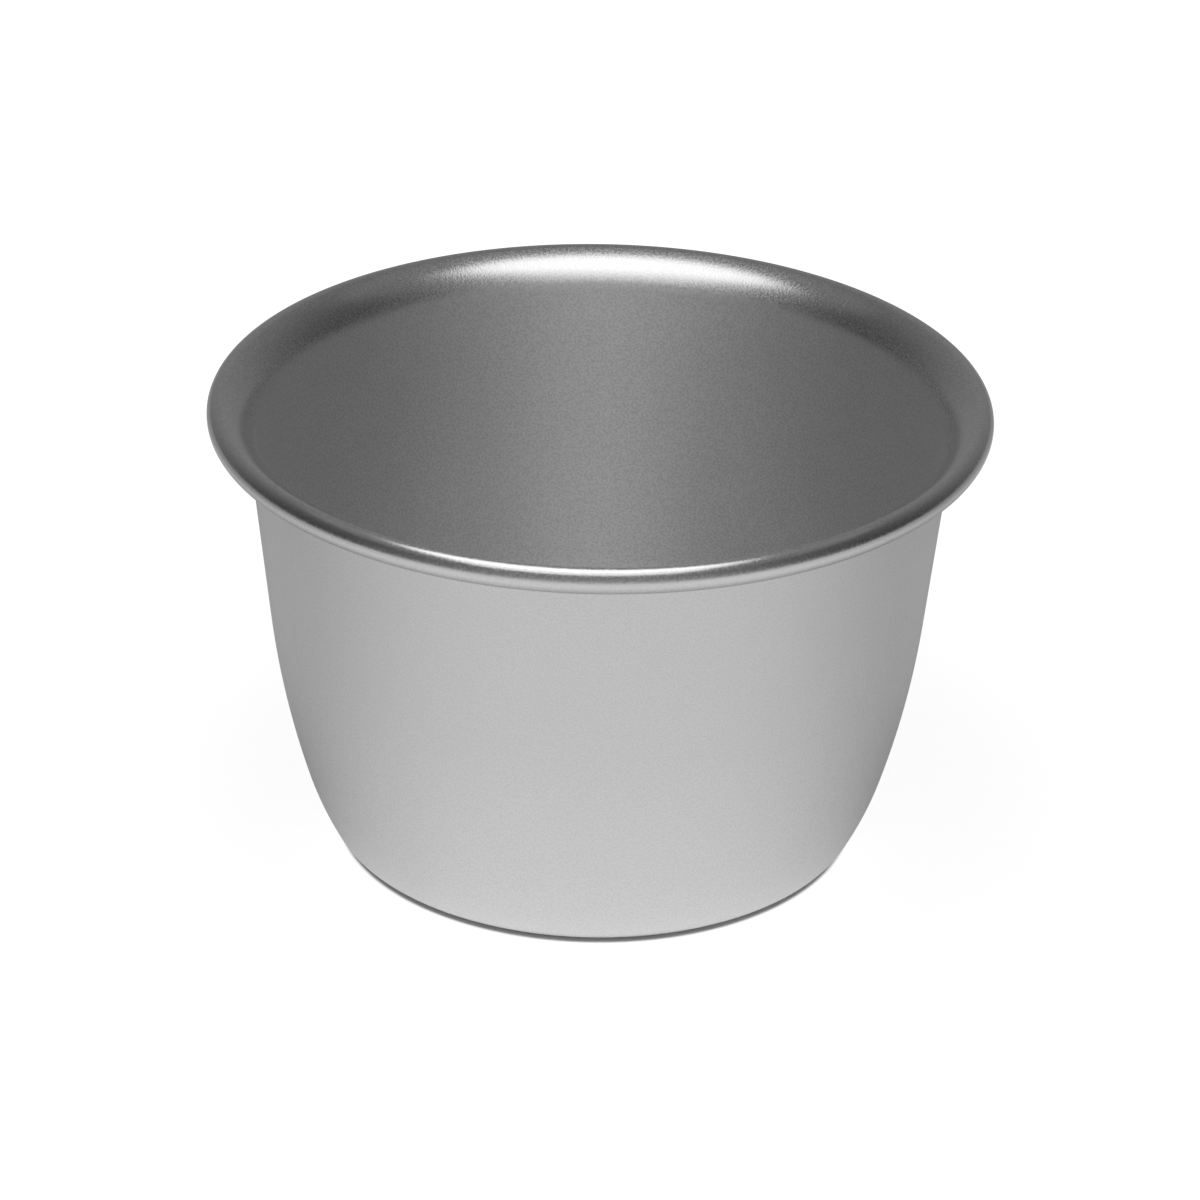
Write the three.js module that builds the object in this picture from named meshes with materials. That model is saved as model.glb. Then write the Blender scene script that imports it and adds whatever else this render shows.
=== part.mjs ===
// A mini pudding mould: one disc of aluminium sheet, drawn into a round cup and rolled over at its edge.
// Millimetres, +Z up. The origin is the middle of the flat base, on the surface that the mould stands on.
import * as THREE from "three";

// Driving dimensions. Radii of the cup are those of its outer face unless the name says otherwise.
const SHEET = 0.9;
const HEIGHT = 48.4;
const RIM_DIAMETER = 80;
const BASE_FLAT_DIAMETER = 50;
const WALL_LEAN = THREE.MathUtils.degToRad(6.3);
const HEEL_RADIUS = 3;
const LOWER_BELLY_RADIUS = 34;
const LOWER_BELLY_TURN = THREE.MathUtils.degToRad(11.5);
const UPPER_BELLY_RADIUS = 95;
const UPPER_BELLY_TURN = THREE.MathUtils.degToRad(10.5);
const FLARE_FOOT_TOP_RADIUS = 3;
const FLARE_FOOT_TURN = THREE.MathUtils.degToRad(24);
const FLARE_TOP_RADIUS = 6;
const BEAD_RADIUS = 1.3;
const CURL_TURN_BELOW_LEVEL = THREE.MathUtils.degToRad(140);

// Facets: how many flat faces stand in for each round stretch.
const AROUND = 72;
const HEEL_STEPS = 5;
const BELLY_STEPS = 3;
const FLARE_FOOT_STEPS = 3;
const FLARE_STEPS = 4;
const BEAD_STEPS = 16;

const ANODISED_ALUMINIUM = new THREE.MeshStandardMaterial({
  color: 0xc4c5c7,
  roughness: 0.36,
  metalness: 1,
});

// One bend of the sheet in the section plane (x is the radius, y the height): it runs round a centre
// from one angle to another. Seen on the cup's outer face it has faceRadius, and there the sheet lies
// towards the centre (a heel or belly, inward = -1) or away from it (the flare and the curl, inward = +1).
function bend(centre, faceRadius, inward, from, to, steps) {
  return { centre, faceRadius, inward, from, to, steps };
}

// The points of a bend on the outer face (depth 0) or on the inner face (depth SHEET).
function bendPoints({ centre, faceRadius, inward, from, to, steps }, depth) {
  const radius = faceRadius + inward * depth;
  const points = [];
  for (let i = 0; i <= steps; i++) {
    const angle = THREE.MathUtils.lerp(from, to, i / steps);
    points.push(polar(centre, radius, angle));
  }
  return points;
}

function polar(centre, radius, angle) {
  return new THREE.Vector2(
    centre.x + radius * Math.cos(angle),
    centre.y + radius * Math.sin(angle),
  );
}

// Heel, lower belly and upper belly: three tangent bends that turn the flat base up into the leaning wall.
function cupBends() {
  const heelEnd = -(WALL_LEAN + UPPER_BELLY_TURN + LOWER_BELLY_TURN);
  const lowerEnd = heelEnd + LOWER_BELLY_TURN;
  const heelCentre = new THREE.Vector2(BASE_FLAT_DIAMETER / 2, HEEL_RADIUS);
  const lowerCentre = polar(heelCentre, HEEL_RADIUS - LOWER_BELLY_RADIUS, heelEnd);
  const upperCentre = polar(lowerCentre, LOWER_BELLY_RADIUS - UPPER_BELLY_RADIUS, lowerEnd);
  return [
    bend(heelCentre, HEEL_RADIUS, -1, -Math.PI / 2, heelEnd, HEEL_STEPS),
    bend(lowerCentre, LOWER_BELLY_RADIUS, -1, heelEnd, lowerEnd, BELLY_STEPS),
    bend(upperCentre, UPPER_BELLY_RADIUS, -1, lowerEnd, -WALL_LEAN, BELLY_STEPS),
  ];
}

// Flare foot, flare and curl: three tangent bends that carry the wall outwards over the rim and round
// under it. The bead's centre follows from the rim's size. The foot's circle touches the wall's line, and
// the flare's circle goes round the foot's and the bead's and touches both, which settles how far below
// the bead its centre lies.
function rimBends(wallFoot) {
  const outwards = new THREE.Vector2(Math.cos(WALL_LEAN), -Math.sin(WALL_LEAN));
  const upwards = new THREE.Vector2(Math.sin(WALL_LEAN), Math.cos(WALL_LEAN));
  const beadCentre = new THREE.Vector2(RIM_DIAMETER / 2 - BEAD_RADIUS, HEIGHT - BEAD_RADIUS);
  const footUnderside = FLARE_FOOT_TOP_RADIUS - SHEET;
  const flareUnderside = FLARE_TOP_RADIUS - SHEET;
  const curlInside = BEAD_RADIUS - SHEET;
  const footToFlare = FLARE_TOP_RADIUS - FLARE_FOOT_TOP_RADIUS;
  const toBead = beadCentre.clone().sub(wallFoot);
  const across = toBead.dot(outwards) - footUnderside - footToFlare * Math.cos(FLARE_FOOT_TURN);
  const along = Math.sqrt((FLARE_TOP_RADIUS - BEAD_RADIUS) ** 2 - across ** 2);
  const flareCentre = beadCentre
    .clone()
    .addScaledVector(outwards, -across)
    .addScaledVector(upwards, -along);
  const wallSide = Math.PI - WALL_LEAN;
  const footEnd = wallSide - FLARE_FOOT_TURN;
  const footCentre = polar(flareCentre, footToFlare, footEnd);
  const meeting = Math.atan2(beadCentre.y - flareCentre.y, beadCentre.x - flareCentre.x);
  return [
    bend(footCentre, footUnderside, 1, wallSide, footEnd, FLARE_FOOT_STEPS),
    bend(flareCentre, flareUnderside, 1, footEnd, meeting, FLARE_STEPS),
    bend(beadCentre, curlInside, 1, meeting, -CURL_TURN_BELOW_LEVEL, BEAD_STEPS),
  ];
}

// The closed section of the sheet, from the axis under the base, up the outer face, round the edge of the
// curl and back down the inner face to the axis above the base.
function sheetSection() {
  const cup = cupBends();
  const upperBelly = cup.at(-1);
  const wallFoot = polar(upperBelly.centre, upperBelly.faceRadius, upperBelly.to);
  const bends = [...cup, ...rimBends(wallFoot)];
  const outerFace = joined(bends.map((b) => bendPoints(b, 0)));
  const innerFace = joined(bends.map((b) => bendPoints(b, SHEET)));
  const underBase = new THREE.Vector2(0, 0);
  const overBase = new THREE.Vector2(0, SHEET);
  return [underBase, ...outerFace, ...innerFace.reverse(), overBase];
}

// Chains runs of points, leaving out a point that only repeats the end of the run before it.
function joined(runs) {
  const apart = 1e-6;
  const chain = [];
  for (const point of runs.flat()) {
    if (!chain.length || chain.at(-1).distanceTo(point) > apart) chain.push(point);
  }
  return chain;
}

// The section turned about the axis. A lathe turns about Y, so the result is tipped to bring its axis
// to +Z.
function pressedMould() {
  const geometry = new THREE.LatheGeometry(sheetSection(), AROUND);
  geometry.rotateX(Math.PI / 2);
  const mesh = new THREE.Mesh(geometry, ANODISED_ALUMINIUM);
  mesh.name = "pressed_mould";
  return mesh;
}

const mould = new THREE.Group();
mould.name = "mini_pudding_mould";
mould.add(pressedMould());

export default mould;
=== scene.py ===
"""A mini pudding mould in satin aluminium, on a pale table in soft studio light. Metres, +Z up."""
import math

import bpy
from mathutils import Matrix, Vector


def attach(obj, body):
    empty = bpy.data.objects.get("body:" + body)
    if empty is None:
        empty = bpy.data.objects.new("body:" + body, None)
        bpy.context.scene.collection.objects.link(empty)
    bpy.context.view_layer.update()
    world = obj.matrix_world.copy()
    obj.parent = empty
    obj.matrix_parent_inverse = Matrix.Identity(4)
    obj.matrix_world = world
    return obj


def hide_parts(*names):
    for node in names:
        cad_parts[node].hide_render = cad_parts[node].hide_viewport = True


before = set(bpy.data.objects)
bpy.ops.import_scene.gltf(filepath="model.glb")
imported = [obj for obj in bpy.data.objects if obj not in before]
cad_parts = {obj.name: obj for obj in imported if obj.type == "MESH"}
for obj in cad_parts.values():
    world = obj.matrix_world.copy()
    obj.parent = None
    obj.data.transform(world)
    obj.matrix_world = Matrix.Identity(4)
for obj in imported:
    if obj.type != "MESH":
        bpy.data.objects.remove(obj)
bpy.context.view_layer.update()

MM = 0.001
MOULD_NODE = "pressed_mould"

# The sheet and its bends, as the mould is pressed. Radii are those of the outer face unless the name
# says otherwise.
SHEET = 0.9 * MM
BASE_FLAT_RADIUS = 25 * MM
WALL_LEAN = math.radians(6.3)
HEEL_RADIUS = 3 * MM
LOWER_BELLY_RADIUS = 34 * MM
LOWER_BELLY_TURN = math.radians(11.5)
UPPER_BELLY_RADIUS = 95 * MM
UPPER_BELLY_TURN = math.radians(10.5)
FLARE_FOOT_TOP_RADIUS = 3 * MM
FLARE_FOOT_TURN = math.radians(24)
FLARE_TOP_RADIUS = 6 * MM
BEAD_RADIUS = 1.3 * MM
CURL_TURN_BELOW_LEVEL = math.radians(140)
RIM_RADIUS = 40 * MM
HEIGHT = 48.4 * MM

# How finely the round stretches are cut.
STEPS_AROUND = 288
HEEL_STEPS = 14
BELLY_STEPS = 12
FLARE_FOOT_STEPS = 10
FLARE_STEPS = 14
BEAD_STEPS = 48
WELD_DISTANCE = 0.002 * MM

# The camera that took the photograph. Its focal length is in pixels of a square frame, and its sensor is
# in Blender's own millimetres.
FRAME_PIXELS = 1200
FOCAL_PIXELS = 5800
CAMERA_DISTANCE = 600 * MM
CAMERA_ELEVATION = math.radians(27.05)
CAMERA_ROLL = math.radians(0.98)
AIM_POINT = Vector((0.285 * MM, 0, 25.28 * MM))
SENSOR_WIDTH = 36
CLIP_NEAR = 0.01
CLIP_FAR = 20

# The finish: the metal's grey and roughness, then how far each pattern swings its tone and roughness
# either way, and how high its relief stands. The lip is the underside of the bead, where shade is painted
# into the grey. The limits of bead and lip say how far a surface looks up, from -1 to 1, and those of
# facing how far it looks to the axis.
ALONG_SHEET = "along_sheet"
ALUMINIUM_GREY = 0.93
WALL_ROUGHNESS = 0.38
RIM_ROUGHNESS = 0.2
RING_ANISOTROPY = 0.8
QUARTER_TURN = 0.25
GRAIN_SIZE = 0.21 * MM
GRAIN_DETAIL = 0
GRAIN_DARK = 0.3
GRAIN_LIGHT = 0.7
GRAIN_TONE = 0.055
INSIDE_GRAIN_TONE = 0.09
FACING_AWAY = -0.3
FACING_AXIS = 0.3
GRAIN_ROUGHNESS = 0.03
GRAIN_RELIEF = 0.001 * MM
CLOUD_SIZE = 8 * MM
CLOUD_DETAIL = 2
CLOUD_TONE = 0.01
CLOUD_ROUGHNESS = 0.015
RING_LINE_WIDTH = 0.25 * MM
RING_LINE_LENGTH = 14 * MM
RING_LINE_TONE = 0.008
RING_LINE_ROUGHNESS = 0.01
STROKE_DETAIL = 1
FEATHER_WIDTH = 0.22 * MM
FEATHER_LENGTH = 1.3 * MM
FEATHER_SLANT = math.radians(22)
FEATHER_ROUGHNESS = 0.05
FEATHER_RELIEF = 0.003 * MM
FLARE_FOOT_HEIGHT = 44 * MM
RIM_TOP_HEIGHT = 48 * MM
# Painted shade under the bead: where it lies and how much it darkens the grey.
LIP_HEIGHT = 45.5 * MM
LIP_START = -0.1
LIP_END = -0.85
LIP_PAINTED_SHADE = 0.45
BEAD_UNDERSIDE = -0.35
BEAD_NOSE = 0.1
HAIRLINE_HALF_WIDTH = 0.12 * MM
HAIRLINE_TAPER = 0.3 * MM
HAIRLINE_TONE = 0.08
HAIRLINE_ROUGHNESS = 0.2
HAIRLINE_DEPTH = 0.004 * MM
RIM_HAIRLINES = [
    (math.radians(150.8), 36.5 * MM, 38.3 * MM),
    (math.radians(45.7), 35.9 * MM, 37.4 * MM),
]

# The studio. The table's lifts are what it glows with by itself for the lens and in reflections, where 1 is
# white; that glow holds painted light in front of the mould and painted shade round its foot and far off
# beside it. A lamp faces straight down, and its row gives its place, width and depth in millimetres, what its
# face glows with, and its outline.
TABLE_HALF_SIZE = 1.5
TABLE_GREY = 0.8
TABLE_LIFT = 1
# The lens glow is lower near the mould: painted shade round it, on top of its real shadow.
TABLE_NEAR_LIFT_WITH_PAINTED_SHADE = 0.86
TABLE_FAR_RADIUS = 150 * MM
# Painted contact shadow: the table's glow fades out at the mould's foot.
CONTACT_SHADE_START = 26.5 * MM
CONTACT_SHADE_END = 27.1 * MM
# The reflected glow below is painted: light pooled in front of the mould, shade round its foot and far off
# beside it.
TABLE_MIRROR_LIFT = 0.3
TABLE_FRONT_PAINTED_LIGHT = 0.18
PAINTED_LIGHT_FRONT_START = 0.35
FOOT_SHADE = 0.15
FOOT_FRONT_PAINTED_LIGHT = 0.23
FOOT_REACH = 80 * MM
FAR_SIDE_SHADE = 0.15
FAR_SIDE_START = 95 * MM
FAR_SIDE_END = 190 * MM
WALL_TONE = 0.045
FRONT_WALL_TONE = 0.19
BACK_WALL_TONE = 0.145
CEILING_TONE = 0.058
HORIZON_TONE = 0.15
HORIZON_REACH = 0.35
LEVEL = 0
SIDEWAYS = 0
STRAIGHT_IN_FRONT = -1
LAMP_WATTS_PER_RADIANCE = 4
SOFT_BOXES = [
    ("overhead_box", (-7, -16, 132), 80, 100, 0.25, "RECTANGLE"),
    ("overhead_round", (-7, -14, 134), 96, 116, 0.31, "ELLIPSE"),
    ("overhead_core", (-7, 2, 135), 76, 72, 0.26, "ELLIPSE"),
    ("overhead_wide", (-5, -10, 136), 180, 180, 0.044, "ELLIPSE"),
]
MAX_BOUNCES = 16
GLOSSY_BOUNCES = 12


def bend(centre, face_radius, inward, start, end, steps):
    """One bend of the sheet in the section plane, round a centre from one angle to another."""
    return dict(centre=centre, face_radius=face_radius, inward=inward, start=start, end=end, steps=steps)


def polar(centre, radius, angle):
    return Vector((centre.x + radius * math.cos(angle), centre.y + radius * math.sin(angle)))


def bend_points(piece, depth):
    """Points of a bend on the outer face (depth 0) or on the inner face (depth SHEET)."""
    radius = piece["face_radius"] + piece["inward"] * depth
    points = []
    for i in range(piece["steps"] + 1):
        share = i / piece["steps"]
        angle = piece["start"] + (piece["end"] - piece["start"]) * share
        points.append(polar(piece["centre"], radius, angle))
    return points


def cup_bends():
    """Heel, lower belly and upper belly: they turn the flat base up into the leaning wall."""
    heel_end = -(WALL_LEAN + UPPER_BELLY_TURN + LOWER_BELLY_TURN)
    lower_end = heel_end + LOWER_BELLY_TURN
    heel_centre = Vector((BASE_FLAT_RADIUS, HEEL_RADIUS))
    lower_centre = polar(heel_centre, HEEL_RADIUS - LOWER_BELLY_RADIUS, heel_end)
    upper_centre = polar(lower_centre, LOWER_BELLY_RADIUS - UPPER_BELLY_RADIUS, lower_end)
    return [
        bend(heel_centre, HEEL_RADIUS, -1, -math.pi / 2, heel_end, HEEL_STEPS),
        bend(lower_centre, LOWER_BELLY_RADIUS, -1, heel_end, lower_end, BELLY_STEPS),
        bend(upper_centre, UPPER_BELLY_RADIUS, -1, lower_end, -WALL_LEAN, BELLY_STEPS),
    ]


def rim_bends(wall_foot):
    """Flare foot, flare and curl: they carry the wall outwards over the rim and round under it."""
    outwards = Vector((math.cos(WALL_LEAN), -math.sin(WALL_LEAN)))
    upwards = Vector((math.sin(WALL_LEAN), math.cos(WALL_LEAN)))
    bead_centre = Vector((RIM_RADIUS - BEAD_RADIUS, HEIGHT - BEAD_RADIUS))
    foot_underside = FLARE_FOOT_TOP_RADIUS - SHEET
    foot_to_flare = FLARE_TOP_RADIUS - FLARE_FOOT_TOP_RADIUS
    foot_across = foot_underside + foot_to_flare * math.cos(FLARE_FOOT_TURN)
    across = (bead_centre - wall_foot).dot(outwards) - foot_across
    along = math.sqrt((FLARE_TOP_RADIUS - BEAD_RADIUS) ** 2 - across ** 2)
    flare_centre = bead_centre - outwards * across - upwards * along
    to_bead = bead_centre - flare_centre
    meeting = math.atan2(to_bead.y, to_bead.x)
    wall_side = math.pi - WALL_LEAN
    foot_end = wall_side - FLARE_FOOT_TURN
    foot_centre = polar(flare_centre, foot_to_flare, foot_end)
    return [
        bend(foot_centre, foot_underside, 1, wall_side, foot_end, FLARE_FOOT_STEPS),
        bend(flare_centre, FLARE_TOP_RADIUS - SHEET, 1, foot_end, meeting, FLARE_STEPS),
        bend(bead_centre, BEAD_RADIUS - SHEET, 1, meeting, -CURL_TURN_BELOW_LEVEL, BEAD_STEPS),
    ]


def sheet_section():
    """The sheet's section: from the axis under the base, up outside, round the curl and down inside."""
    cup = cup_bends()
    wall_foot = polar(cup[-1]["centre"], cup[-1]["face_radius"], cup[-1]["end"])
    bends = cup + rim_bends(wall_foot)
    outer = [point for piece in bends for point in bend_points(piece, 0)]
    inner = [point for piece in bends for point in bend_points(piece, SHEET)]
    chain = [Vector((0, 0))] + outer + inner[::-1] + [Vector((0, SHEET))]
    kept = [chain[0]]
    for point in chain[1:]:
        if (point - kept[-1]).length > WELD_DISTANCE:
            kept.append(point)
    return kept


def section_curve(name):
    """The section as a curve in the plane that the turning tree sweeps: X is the radius, Y the height."""
    points = sheet_section()
    curve = bpy.data.curves.new(name, "CURVE")
    curve.dimensions = "3D"
    spline = curve.splines.new("POLY")
    spline.points.add(len(points) - 1)
    for slot, point in zip(spline.points, points):
        slot.co = (point.x, point.y, 0, 1)
    section = bpy.data.objects.new(name, curve)
    bpy.context.scene.collection.objects.link(section)
    return section


def add_socket(tree, name, kind, in_out="INPUT"):
    return tree.interface.new_socket(name=name, in_out=in_out, socket_type=kind)


def feed(tree, value, socket):
    """Joins another node's output to a socket, or sets the socket to a plain value."""
    if isinstance(value, bpy.types.NodeSocket):
        tree.links.new(value, socket)
    else:
        socket.default_value = value


def maths(tree, operation, *values):
    node = tree.nodes.new("ShaderNodeMath")
    node.operation = operation
    for socket, value in zip(node.inputs, values):
        feed(tree, value, socket)
    return node.outputs[0]


def total(tree, *values):
    so_far = values[0]
    for value in values[1:]:
        so_far = maths(tree, "ADD", so_far, value)
    return so_far


def product(tree, *values):
    so_far = values[0]
    for value in values[1:]:
        so_far = maths(tree, "MULTIPLY", so_far, value)
    return so_far


def split_vector(tree, vector):
    node = tree.nodes.new("ShaderNodeSeparateXYZ")
    feed(tree, vector, node.inputs[0])
    return node.outputs["X"], node.outputs["Y"], node.outputs["Z"]


def join_vector(tree, x, y, z):
    node = tree.nodes.new("ShaderNodeCombineXYZ")
    for socket, value in zip(node.inputs, (x, y, z)):
        feed(tree, value, socket)
    return node.outputs[0]


def vector_maths(tree, operation, *vectors):
    node = tree.nodes.new("ShaderNodeVectorMath")
    node.operation = operation
    for socket, vector in zip(node.inputs, vectors):
        feed(tree, vector, socket)
    return node.outputs


def turned_about_axis(tree, vector, angle):
    node = tree.nodes.new("ShaderNodeVectorRotate")
    node.rotation_type = "Z_AXIS"
    feed(tree, vector, node.inputs["Vector"])
    feed(tree, angle, node.inputs["Angle"])
    return node.outputs[0]


def section_value(tree, section, value, kind, row):
    """What the section's own point in that row holds."""
    pick = tree.nodes.new("GeometryNodeSampleIndex")
    pick.data_type = kind
    pick.domain = "POINT"
    feed(tree, section, pick.inputs["Geometry"])
    feed(tree, value, pick.inputs["Value"])
    feed(tree, row, pick.inputs["Index"])
    return pick.outputs[0]


def geometry_step(tree, kind, geometry, **settings):
    """Adds a step to a chain of geometry nodes, and gives what comes out of it."""
    node = tree.nodes.new(kind)
    feed(tree, geometry, node.inputs["Geometry"])
    for name, value in settings.items():
        feed(tree, value, node.inputs[name])
    return node.outputs[0]


def flat_grid(tree, section, steps_around):
    """A flat grid with a row for each of the section's points, and the angle and row of each grid point."""
    count = tree.nodes.new("GeometryNodeAttributeDomainSize")
    count.component = "CURVE"
    feed(tree, section, count.inputs["Geometry"])
    section_points = count.outputs["Point Count"]
    last_row = maths(tree, "SUBTRACT", section_points, 1)
    grid = tree.nodes.new("GeometryNodeMeshGrid")
    grid.inputs["Size X"].default_value = math.tau
    feed(tree, last_row, grid.inputs["Size Y"])
    feed(tree, total(tree, steps_around, 1), grid.inputs["Vertices X"])
    feed(tree, section_points, grid.inputs["Vertices Y"])
    # On the grid X is the angle round the axis, and Y counts the section's points from the middle one.
    angle, from_middle, _ = split_vector(tree, tree.nodes.new("GeometryNodeInputPosition").outputs[0])
    row = maths(tree, "ROUND", total(tree, from_middle, product(tree, last_row, 0.5)))
    return grid.outputs["Mesh"], angle, row


def turned_place(tree, section, angle, row):
    """Where a grid point goes: to its row's point of the section, turned about the axis by its angle."""
    section_place = tree.nodes.new("GeometryNodeInputPosition").outputs[0]
    section_point = section_value(tree, section, section_place, "FLOAT_VECTOR", row)
    radius, height, _ = split_vector(tree, section_point)
    return join_vector(
        tree,
        product(tree, maths(tree, "COSINE", angle), radius),
        product(tree, maths(tree, "SINE", angle), radius),
        height,
    )


def turning_tree():
    """Geometry nodes that turn a section about the Z axis into a closed skin with smooth faces."""
    tree = bpy.data.node_groups.new("turned_sheet", "GeometryNodeTree")
    add_socket(tree, "Section", "NodeSocketGeometry")
    add_socket(tree, "Steps Around", "NodeSocketInt")
    add_socket(tree, "Weld Distance", "NodeSocketFloat")
    add_socket(tree, "Finish", "NodeSocketMaterial")
    add_socket(tree, "Skin", "NodeSocketGeometry", "OUTPUT")
    given = tree.nodes.new("NodeGroupInput").outputs
    made = tree.nodes.new("NodeGroupOutput").inputs
    section = given["Section"]
    skin, angle, row = flat_grid(tree, section, given["Steps Around"])
    walked = tree.nodes.new("GeometryNodeSplineParameter").outputs["Length"]
    along = section_value(tree, section, walked, "FLOAT", row)
    place = turned_place(tree, section, angle, row)
    skin = geometry_step(tree, "GeometryNodeStoreNamedAttribute", skin, Name=ALONG_SHEET, Value=along)
    skin = geometry_step(tree, "GeometryNodeSetPosition", skin, Position=place)
    skin = geometry_step(tree, "GeometryNodeMergeByDistance", skin, Distance=given["Weld Distance"])
    skin = geometry_step(tree, "GeometryNodeSetShadeSmooth", skin)
    skin = geometry_step(tree, "GeometryNodeRealizeInstances", skin)
    skin = geometry_step(tree, "GeometryNodeSetMaterial", skin, Material=given["Finish"])
    feed(tree, skin, made["Skin"])
    return tree


def set_tree_input(modifier, name, value):
    for item in modifier.node_group.interface.items_tree:
        if item.item_type == "SOCKET" and item.in_out == "INPUT" and item.name == name:
            modifier[item.identifier] = value


def turned_mould(material):
    """The mould: its section turned about the axis, baked to a plain mesh with one finish."""
    section = section_curve("mould_section")
    modifier = section.modifiers.new("turned_sheet", "NODES")
    modifier.node_group = turning_tree()
    set_tree_input(modifier, "Steps Around", STEPS_AROUND)
    set_tree_input(modifier, "Weld Distance", WELD_DISTANCE)
    set_tree_input(modifier, "Finish", material)
    depsgraph = bpy.context.evaluated_depsgraph_get()
    mesh = bpy.data.meshes.new_from_object(section.evaluated_get(depsgraph))
    bpy.data.objects.remove(section)
    mesh.name = "mould_skin"
    mesh.materials.clear()
    mesh.materials.append(material)
    mesh.polygons.foreach_set("material_index", [0] * len(mesh.polygons))
    mould = bpy.data.objects.new("mould_skin", mesh)
    bpy.context.scene.collection.objects.link(mould)
    return mould


def fade(tree, value, start, end):
    """0 at start and 1 at end, eased between them."""
    node = tree.nodes.new("ShaderNodeMapRange")
    node.interpolation_type = "SMOOTHSTEP"
    feed(tree, value, node.inputs["Value"])
    node.inputs["From Min"].default_value = start
    node.inputs["From Max"].default_value = end
    return node.outputs["Result"]


def noise(tree, place, scale, detail):
    node = tree.nodes.new("ShaderNodeTexNoise")
    feed(tree, place, node.inputs["Vector"])
    node.inputs["Scale"].default_value = scale
    node.inputs["Detail"].default_value = detail
    return node.outputs["Fac"]


def swing(tree, pattern, amount):
    """A pattern from 0 to 1 made to go up and down about 0 by that amount."""
    return product(tree, maths(tree, "SUBTRACT", pattern, 0.5), 2 * amount)


def stroke_noise(tree, place, along, around_size, along_size, slant):
    """Noise drawn out into slanted strokes, of one length round the axis and one along the sheet."""
    x, y, _ = split_vector(tree, place)
    outwards = vector_maths(tree, "NORMALIZE", join_vector(tree, x, y, 0))["Vector"]
    lean = product(tree, along, math.tan(slant) / RIM_RADIUS)
    round_x, round_y, _ = split_vector(tree, turned_about_axis(tree, outwards, lean))
    strokes_around = RIM_RADIUS / around_size
    stroke_place = join_vector(
        tree,
        product(tree, round_x, strokes_around),
        product(tree, round_y, strokes_around),
        product(tree, along, 1 / along_size),
    )
    return noise(tree, stroke_place, 1, STROKE_DETAIL)


def facing_axis(tree, place, normal):
    """1 where the surface looks straight at the mould's axis, -1 where it looks straight away from it."""
    x, y, _ = split_vector(tree, place)
    to_axis = join_vector(tree, product(tree, x, -1), product(tree, y, -1), 0)
    inwards = vector_maths(tree, "NORMALIZE", to_axis)["Vector"]
    return vector_maths(tree, "DOT_PRODUCT", inwards, normal)["Value"]


def rim_hairline(tree, place, azimuth, inner_radius, outer_radius):
    """A fine scratch straight across the flare: 1 on its line, 0 elsewhere."""
    outwards, sideways, height = split_vector(tree, turned_about_axis(tree, place, -azimuth))
    return product(
        tree,
        fade(tree, maths(tree, "ABSOLUTE", sideways), HAIRLINE_HALF_WIDTH, 0),
        fade(tree, outwards, inner_radius - HAIRLINE_TAPER, inner_radius + HAIRLINE_TAPER),
        fade(tree, outwards, outer_radius + HAIRLINE_TAPER, outer_radius - HAIRLINE_TAPER),
        fade(tree, height, FLARE_FOOT_HEIGHT, RIM_TOP_HEIGHT),
    )


def rim_feathers(tree, place, along):
    """Fine strokes across the flare, some leaning left and some right."""
    leaning_left = stroke_noise(tree, place, along, FEATHER_WIDTH, FEATHER_LENGTH, FEATHER_SLANT)
    leaning_right = stroke_noise(tree, place, along, FEATHER_WIDTH, FEATHER_LENGTH, -FEATHER_SLANT)
    return product(tree, total(tree, leaning_left, leaning_right), 0.5)


def finish_marks(tree, place, normal, along):
    """Where the rim, the lip and the inside are, and the patterns of the finish, each from 0 to 1."""
    _, _, height = split_vector(tree, place)
    _, _, upwards = split_vector(tree, normal)
    grain = noise(tree, place, 1 / GRAIN_SIZE, GRAIN_DETAIL)
    return dict(
        rim=product(
            tree,
            fade(tree, height, FLARE_FOOT_HEIGHT, RIM_TOP_HEIGHT),
            fade(tree, upwards, BEAD_UNDERSIDE, BEAD_NOSE),
        ),
        # Where the bead's underside takes painted shade.
        lip=product(
            tree,
            fade(tree, height, FLARE_FOOT_HEIGHT, LIP_HEIGHT),
            fade(tree, upwards, LIP_START, LIP_END),
        ),
        inside=fade(tree, facing_axis(tree, place, normal), FACING_AWAY, FACING_AXIS),
        grain=fade(tree, grain, GRAIN_DARK, GRAIN_LIGHT),
        cloud=noise(tree, place, 1 / CLOUD_SIZE, CLOUD_DETAIL),
        ring_lines=stroke_noise(tree, place, along, RING_LINE_LENGTH, RING_LINE_WIDTH, 0),
        feathers=rim_feathers(tree, place, along),
        hairlines=total(tree, *[rim_hairline(tree, place, *line) for line in RIM_HAIRLINES]),
    )


def finish_grey(tree, marks):
    """The metal's grey, which swings with the patterns, more inside the cup, and has painted shade at the
    lip.
    """
    grain_tone = total(tree, GRAIN_TONE, product(tree, marks["inside"], INSIDE_GRAIN_TONE - GRAIN_TONE))
    tone = total(
        tree,
        1,
        product(tree, swing(tree, marks["grain"], 1), grain_tone),
        swing(tree, marks["cloud"], CLOUD_TONE),
        swing(tree, marks["ring_lines"], RING_LINE_TONE),
        product(tree, marks["hairlines"], HAIRLINE_TONE),
        # Painted shade under the bead's curl.
        product(tree, marks["lip"], -LIP_PAINTED_SHADE),
    )
    return product(tree, tone, ALUMINIUM_GREY)


def finish_roughness(tree, marks):
    return total(
        tree,
        WALL_ROUGHNESS,
        product(tree, marks["rim"], RIM_ROUGHNESS - WALL_ROUGHNESS),
        swing(tree, marks["grain"], GRAIN_ROUGHNESS),
        swing(tree, marks["cloud"], CLOUD_ROUGHNESS),
        swing(tree, marks["ring_lines"], RING_LINE_ROUGHNESS),
        product(tree, marks["rim"], swing(tree, marks["feathers"], FEATHER_ROUGHNESS)),
        product(tree, marks["hairlines"], HAIRLINE_ROUGHNESS),
    )


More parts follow.
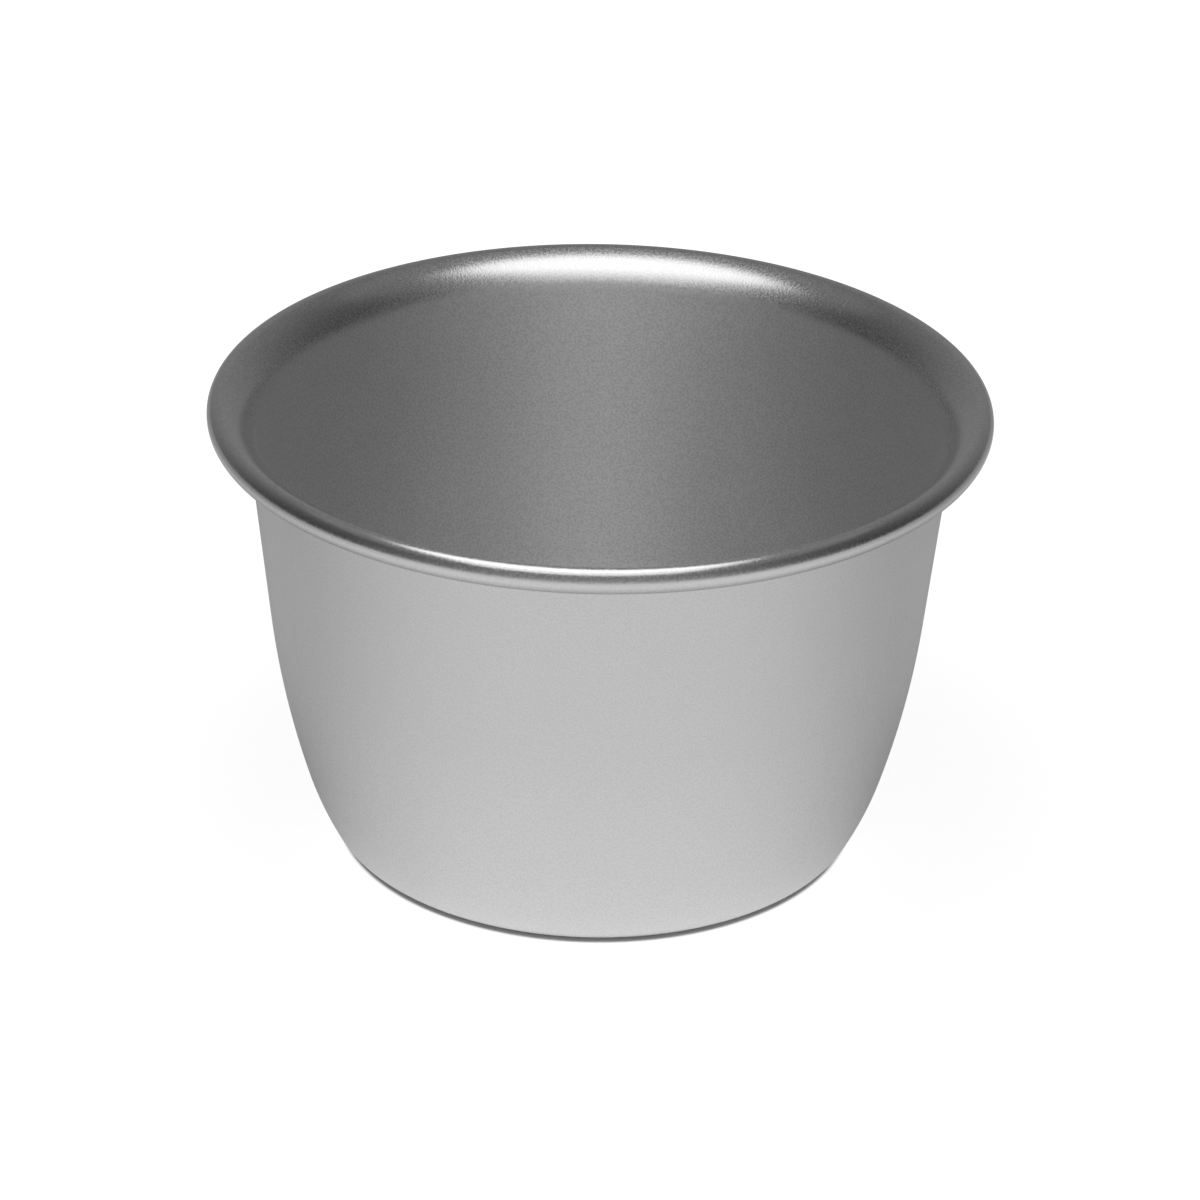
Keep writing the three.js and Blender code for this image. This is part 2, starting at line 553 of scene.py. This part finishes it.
def finish_relief(tree, marks):
    """The surface's direction, tipped by how the grain and feathers stand up and the hairlines cut in."""
    relief = total(
        tree,
        swing(tree, marks["grain"], GRAIN_RELIEF),
        product(tree, marks["rim"], swing(tree, marks["feathers"], FEATHER_RELIEF)),
        product(tree, marks["hairlines"], -HAIRLINE_DEPTH),
    )
    bump = tree.nodes.new("ShaderNodeBump")
    bump.inputs["Strength"].default_value = 1
    bump.inputs["Distance"].default_value = 1
    feed(tree, relief, bump.inputs["Height"])
    return bump.outputs[0]


def satin_aluminium():
    """Turned satin metal: rings that spread light up and down, an even grain and a smoother rim."""
    material = bpy.data.materials.new("satin_aluminium")
    material.use_nodes = True
    tree = material.node_tree
    shader = tree.nodes["Principled BSDF"].inputs
    surface = tree.nodes.new("ShaderNodeTexCoord").outputs
    kept = tree.nodes.new("ShaderNodeAttribute")
    kept.attribute_name = ALONG_SHEET
    marks = finish_marks(tree, surface["Object"], surface["Normal"], kept.outputs["Fac"])
    feed(tree, finish_grey(tree, marks), shader["Base Color"])
    feed(tree, finish_roughness(tree, marks), shader["Roughness"])
    feed(tree, finish_relief(tree, marks), shader["Normal"])
    around = tree.nodes.new("ShaderNodeTangent")
    around.direction_type = "RADIAL"
    around.axis = "Z"
    feed(tree, around.outputs[0], shader["Tangent"])
    shader["Anisotropic"].default_value = RING_ANISOTROPY
    shader["Anisotropic Rotation"].default_value = QUARTER_TURN
    shader["Metallic"].default_value = 1
    return material


def squarely(tree, component, sign):
    """1 where a direction points straight one way along an axis, 0 at right angles and beyond."""
    facing = maths(tree, "MAXIMUM", product(tree, component, sign), 0)
    return maths(tree, "POWER", facing, 2)


def mirrored_table(tree, from_axis, towards_back):
    """What the table glows with in reflections: an even glow, with painted light pooled in front of the mould
    and painted shade round its foot and far off beside it.
    """
    in_front = fade(tree, towards_back, PAINTED_LIGHT_FRONT_START, STRAIGHT_IN_FRONT)
    beside = maths(tree, "SUBTRACT", 1, in_front)
    far_off = fade(tree, from_axis, FAR_SIDE_START, FAR_SIDE_END)
    near_foot = fade(tree, from_axis, FOOT_REACH, BASE_FLAT_RADIUS)
    return total(
        tree,
        TABLE_MIRROR_LIFT,
        product(tree, in_front, TABLE_FRONT_PAINTED_LIGHT),
        product(tree, far_off, beside, -FAR_SIDE_SHADE),
        product(tree, near_foot, -FOOT_SHADE),
        product(tree, near_foot, in_front, FOOT_FRONT_PAINTED_LIGHT),
    )


def table_for_lens(tree, from_axis):
    """What the table glows with for the lens: a little less near the mould, which paints shade round it and
    lets its real shadow show.
    """
    far_off = fade(tree, from_axis, BASE_FLAT_RADIUS, TABLE_FAR_RADIUS)
    return total(tree, TABLE_NEAR_LIFT_WITH_PAINTED_SHADE, product(tree, far_off, TABLE_LIFT - TABLE_NEAR_LIFT_WITH_PAINTED_SHADE))


def table_material():
    """Plain pale paint that the lens and reflections see whiter than the lamps make it, with painted light
    and shade round the mould.
    """
    material = bpy.data.materials.new("pale_table")
    material.use_nodes = True
    tree = material.node_tree
    shader = tree.nodes["Principled BSDF"].inputs
    shader["Base Color"].default_value = (TABLE_GREY, TABLE_GREY, TABLE_GREY, 1)
    shader["Roughness"].default_value = 1
    shader["Specular IOR Level"].default_value = 0
    shader["Emission Color"].default_value = (1, 1, 1, 1)
    place = tree.nodes.new("ShaderNodeTexCoord").outputs["Object"]
    _, towards_back, _ = split_vector(tree, vector_maths(tree, "NORMALIZE", place)["Vector"])
    from_axis = vector_maths(tree, "LENGTH", place)["Value"]
    path = tree.nodes.new("ShaderNodeLightPath").outputs
    mirrored = maths(tree, "MAXIMUM", path["Is Glossy Ray"], path["Is Transmission Ray"])
    lift = total(
        tree,
        product(tree, path["Is Camera Ray"], table_for_lens(tree, from_axis)),
        product(tree, mirrored, mirrored_table(tree, from_axis, towards_back)),
    )
    # The glow fades out at the foot, painting a contact shadow there.
    clear_of_painted_contact_shadow = fade(tree, from_axis, CONTACT_SHADE_START, CONTACT_SHADE_END)
    feed(tree, product(tree, lift, clear_of_painted_contact_shadow), shader["Emission Strength"])
    return material


def pale_table():
    half = TABLE_HALF_SIZE
    mesh = bpy.data.meshes.new("pale_table")
    corners = [(-half, -half, 0), (half, -half, 0), (half, half, 0), (-half, half, 0)]
    mesh.from_pydata(corners, [], [(0, 1, 2, 3)])
    mesh.materials.append(table_material())
    table = bpy.data.objects.new("pale_table", mesh)
    bpy.context.scene.collection.objects.link(table)


def photo_camera():
    """Looks down at the mould from the front, turned a little about its own line of sight."""
    data = bpy.data.cameras.new("photo_camera")
    data.sensor_width = SENSOR_WIDTH
    data.lens = SENSOR_WIDTH * FOCAL_PIXELS / FRAME_PIXELS
    data.clip_start = CLIP_NEAR
    data.clip_end = CLIP_FAR
    camera = bpy.data.objects.new("photo_camera", data)
    bpy.context.scene.collection.objects.link(camera)
    back = Vector((0, -math.cos(CAMERA_ELEVATION), math.sin(CAMERA_ELEVATION)))
    upright = (-back).to_track_quat("-Z", "Y").to_matrix().to_4x4()
    rolled = upright @ Matrix.Rotation(CAMERA_ROLL, 4, "Z")
    camera.matrix_world = Matrix.Translation(AIM_POINT + back * CAMERA_DISTANCE) @ rolled
    bpy.context.scene.camera = camera


def soft_box(name, place, width, depth, radiance, shape):
    """An area lamp that faces down and gives as much light from each bit of its face as its radiance says."""
    data = bpy.data.lights.new(name, "AREA")
    data.shape = shape
    data.size = width
    data.size_y = depth
    face = width * depth * (math.pi / 4 if shape == "ELLIPSE" else 1)
    data.energy = LAMP_WATTS_PER_RADIANCE * face * radiance
    lamp = bpy.data.objects.new(name, data)
    bpy.context.scene.collection.objects.link(lamp)
    lamp.location = place
    lamp.visible_camera = False


def studio_walls():
    """A world that is white behind the mould, and that lights the mould and shows in it as dim walls."""
    world = bpy.data.worlds.new("studio")
    bpy.context.scene.world = world
    world.use_nodes = True
    tree = world.node_tree
    sky = tree.nodes["Background"]
    sky.inputs["Color"].default_value = (1, 1, 1, 1)
    _, towards_back, upwards = split_vector(tree, tree.nodes.new("ShaderNodeTexCoord").outputs["Generated"])
    front_horizon = product(
        tree,
        fade(tree, upwards, HORIZON_REACH, LEVEL),
        fade(tree, towards_back, SIDEWAYS, STRAIGHT_IN_FRONT),
    )
    wall = total(
        tree,
        WALL_TONE,
        product(tree, squarely(tree, towards_back, -1), FRONT_WALL_TONE),
        product(tree, squarely(tree, towards_back, 1), BACK_WALL_TONE),
        product(tree, squarely(tree, upwards, 1), CEILING_TONE),
        product(tree, front_horizon, HORIZON_TONE),
    )
    seen = tree.nodes.new("ShaderNodeLightPath").outputs["Is Camera Ray"]
    unseen = maths(tree, "SUBTRACT", 1, seen)
    feed(tree, total(tree, seen, product(tree, unseen, wall)), sky.inputs["Strength"])


def studio_light():
    studio_walls()
    for name, place, width, depth, radiance, shape in SOFT_BOXES:
        soft_box(name, Vector(place) * MM, width * MM, depth * MM, radiance, shape)


def main():
    scene = bpy.context.scene
    scene.view_settings.view_transform = "Standard"
    scene.cycles.max_bounces = MAX_BOUNCES
    scene.cycles.glossy_bounces = GLOSSY_BOUNCES
    mould = turned_mould(satin_aluminium())
    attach(mould, "root")
    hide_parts(MOULD_NODE)
    pale_table()
    photo_camera()
    studio_light()


main()
